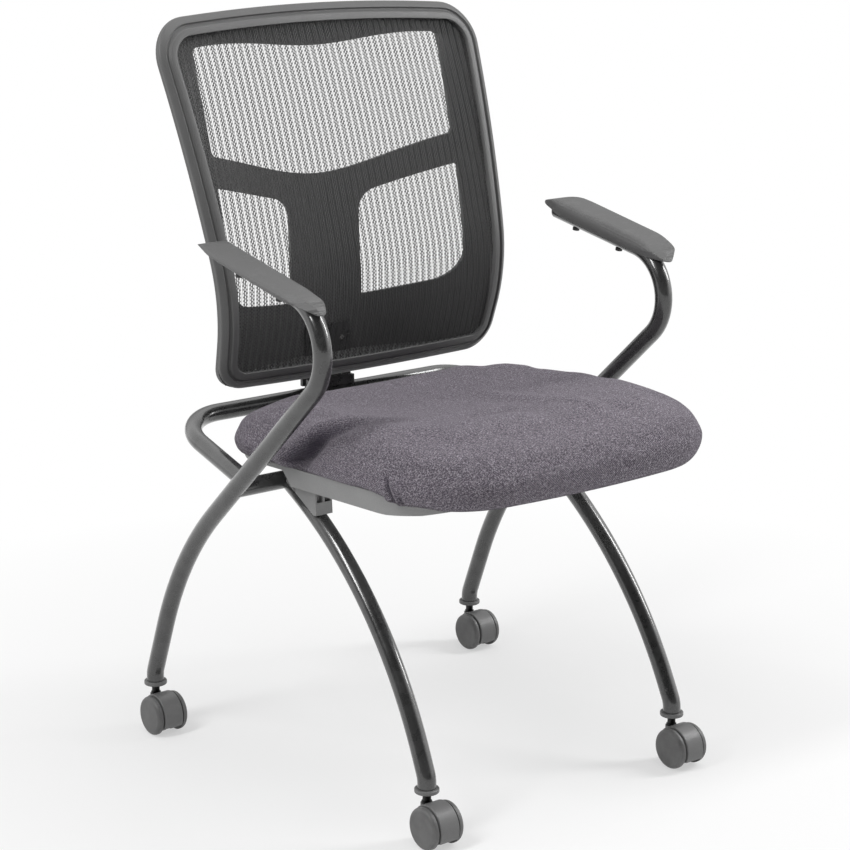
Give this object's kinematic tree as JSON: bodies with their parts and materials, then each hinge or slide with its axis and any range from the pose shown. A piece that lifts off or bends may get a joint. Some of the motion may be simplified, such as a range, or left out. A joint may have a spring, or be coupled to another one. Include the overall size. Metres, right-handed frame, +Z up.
{
  "type": "nesting chair",
  "caption": "Armchair on casters with a mesh back in a plastic frame, round-tube legs and a padded seat that flips up for nesting.",
  "frame": {"origin": "on the floor, under the middle of the chair's own box", "axes": "+Z up, the sitter faces -Y, +X is the sitter's left"},
  "size_m": [0.594, 0.5688, 0.912],
  "materials": {
    "frame_paint": "satin charcoal powder coat",
    "back_plastic": "fine-grained dark grey moulding",
    "pad_plastic": "soft-grained dark grey urethane",
    "pan_plastic": "fine-grained dark grey moulding",
    "caster_plastic": "grey-black nylon",
    "wheel_plastic": "grey-black nylon",
    "zinc_steel": "zinc-plated",
    "mesh_fabric": "open black knit",
    "seat_fabric": "purple-grey diagonal weave",
    "plywood": "raw"
  },
  "bodies": {
    "frame": {"crossbar": "frame_paint", "seat_rail": "frame_paint", "arm_screws": "zinc_steel", "back_frame": "back_plastic", "back_mesh": "mesh_fabric", "support_shell": "back_plastic", "back_bracket": "frame_paint", "back_bolts": "zinc_steel", "arm_leg_tube_left": "frame_paint", "front_leg_left": "frame_paint", "arm_pad_left": "pad_plastic", "arm_plug_left": "caster_plastic", "arm_leg_tube_right": "frame_paint", "front_leg_right": "frame_paint", "arm_pad_right": "pad_plastic", "arm_plug_right": "caster_plastic", "caster_socket_front_left": "caster_plastic", "caster_socket_front_right": "caster_plastic", "caster_socket_rear_left": "caster_plastic", "caster_socket_rear_right": "caster_plastic"},
    "seat": {"seat_pan": "pan_plastic", "seat_board": "plywood", "seat_cushion": "seat_fabric", "pivot_screws": "zinc_steel", "pivot_clamp_left": "pan_plastic", "pivot_cap_left": "pan_plastic", "rest_block_left": "pan_plastic", "pivot_clamp_right": "pan_plastic", "pivot_cap_right": "pan_plastic", "rest_block_right": "pan_plastic"},
    "swivel_front_left": {"caster_stem_front_left": "zinc_steel", "caster_hood_front_left": "caster_plastic", "caster_axle_front_left": "zinc_steel"},
    "wheel_front_left_inner": {"caster_wheel_front_left_inner": "wheel_plastic"},
    "wheel_front_left_outer": {"caster_wheel_front_left_outer": "wheel_plastic"},
    "swivel_front_right": {"caster_stem_front_right": "zinc_steel", "caster_hood_front_right": "caster_plastic", "caster_axle_front_right": "zinc_steel"},
    "wheel_front_right_inner": {"caster_wheel_front_right_inner": "wheel_plastic"},
    "wheel_front_right_outer": {"caster_wheel_front_right_outer": "wheel_plastic"},
    "swivel_rear_left": {"caster_stem_rear_left": "zinc_steel", "caster_hood_rear_left": "caster_plastic", "caster_axle_rear_left": "zinc_steel"},
    "wheel_rear_left_inner": {"caster_wheel_rear_left_inner": "wheel_plastic"},
    "wheel_rear_left_outer": {"caster_wheel_rear_left_outer": "wheel_plastic"},
    "swivel_rear_right": {"caster_stem_rear_right": "zinc_steel", "caster_hood_rear_right": "caster_plastic", "caster_axle_rear_right": "zinc_steel"},
    "wheel_rear_right_inner": {"caster_wheel_rear_right_inner": "wheel_plastic"},
    "wheel_rear_right_outer": {"caster_wheel_rear_right_outer": "wheel_plastic"}
  },
  "joints": [
    {"name": "seat_flip", "type": "hinge", "parent": "frame", "child": "seat", "pos_m": [0, 0.071, 0.365], "axis": [-1, 0, 0], "range_deg": [0, 80]},
    {"name": "swivel_front_left", "type": "hinge", "parent": "frame", "child": "swivel_front_left", "pos_m": [0.1915, -0.2138, 0.06], "axis": [0, 0, 1], "continuous": true},
    {"name": "spin_front_left_inner", "type": "hinge", "parent": "swivel_front_left", "child": "wheel_front_left_inner", "pos_m": [0.1915, -0.2318, 0.025], "axis": [1, 0, 0], "continuous": true},
    {"name": "spin_front_left_outer", "type": "hinge", "parent": "swivel_front_left", "child": "wheel_front_left_outer", "pos_m": [0.1915, -0.2318, 0.025], "axis": [1, 0, 0], "continuous": true},
    {"name": "swivel_front_right", "type": "hinge", "parent": "frame", "child": "swivel_front_right", "pos_m": [-0.1915, -0.2138, 0.06], "axis": [0, 0, 1], "continuous": true},
    {"name": "spin_front_right_inner", "type": "hinge", "parent": "swivel_front_right", "child": "wheel_front_right_inner", "pos_m": [-0.1915, -0.2318, 0.025], "axis": [1, 0, 0], "continuous": true},
    {"name": "spin_front_right_outer", "type": "hinge", "parent": "swivel_front_right", "child": "wheel_front_right_outer", "pos_m": [-0.1915, -0.2318, 0.025], "axis": [1, 0, 0], "continuous": true},
    {"name": "swivel_rear_left", "type": "hinge", "parent": "frame", "child": "swivel_rear_left", "pos_m": [0.258, 0.2697, 0.06], "axis": [0, 0, 1], "continuous": true},
    {"name": "spin_rear_left_inner", "type": "hinge", "parent": "swivel_rear_left", "child": "wheel_rear_left_inner", "pos_m": [0.258, 0.2517, 0.025], "axis": [1, 0, 0], "continuous": true},
    {"name": "spin_rear_left_outer", "type": "hinge", "parent": "swivel_rear_left", "child": "wheel_rear_left_outer", "pos_m": [0.258, 0.2517, 0.025], "axis": [1, 0, 0], "continuous": true},
    {"name": "swivel_rear_right", "type": "hinge", "parent": "frame", "child": "swivel_rear_right", "pos_m": [-0.258, 0.2697, 0.06], "axis": [0, 0, 1], "continuous": true},
    {"name": "spin_rear_right_inner", "type": "hinge", "parent": "swivel_rear_right", "child": "wheel_rear_right_inner", "pos_m": [-0.258, 0.2517, 0.025], "axis": [1, 0, 0], "continuous": true},
    {"name": "spin_rear_right_outer", "type": "hinge", "parent": "swivel_rear_right", "child": "wheel_rear_right_outer", "pos_m": [-0.258, 0.2517, 0.025], "axis": [1, 0, 0], "continuous": true}
  ]
}
